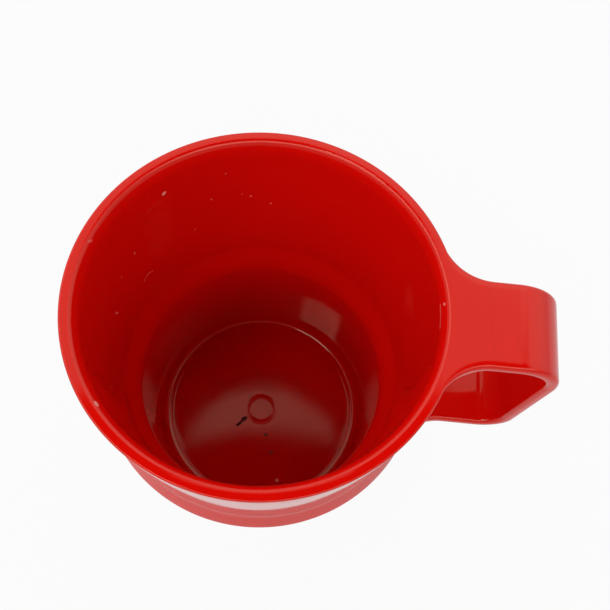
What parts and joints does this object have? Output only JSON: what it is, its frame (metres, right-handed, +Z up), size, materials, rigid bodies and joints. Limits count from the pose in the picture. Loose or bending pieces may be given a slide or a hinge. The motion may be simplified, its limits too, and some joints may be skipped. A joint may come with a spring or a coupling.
{
  "type": "stacking mug",
  "caption": "Tapered melamine stacking mug with a seating bead round its middle, a narrower nesting foot section and a flat strap handle flush with the rim.",
  "frame": {"origin": "on the bowl's axis, in the plane that the foot ring stands on", "axes": "+Z up along the bowl's axis, +X towards the handle, XZ is the plane of mirror symmetry"},
  "size_m": [0.1074, 0.084, 0.0844],
  "materials": {
    "melamine": "glossy moulded melamine in one red all through, with fine use marks"
  },
  "bodies": {
    "root": {"mug": "melamine"}
  },
  "joints": []
}
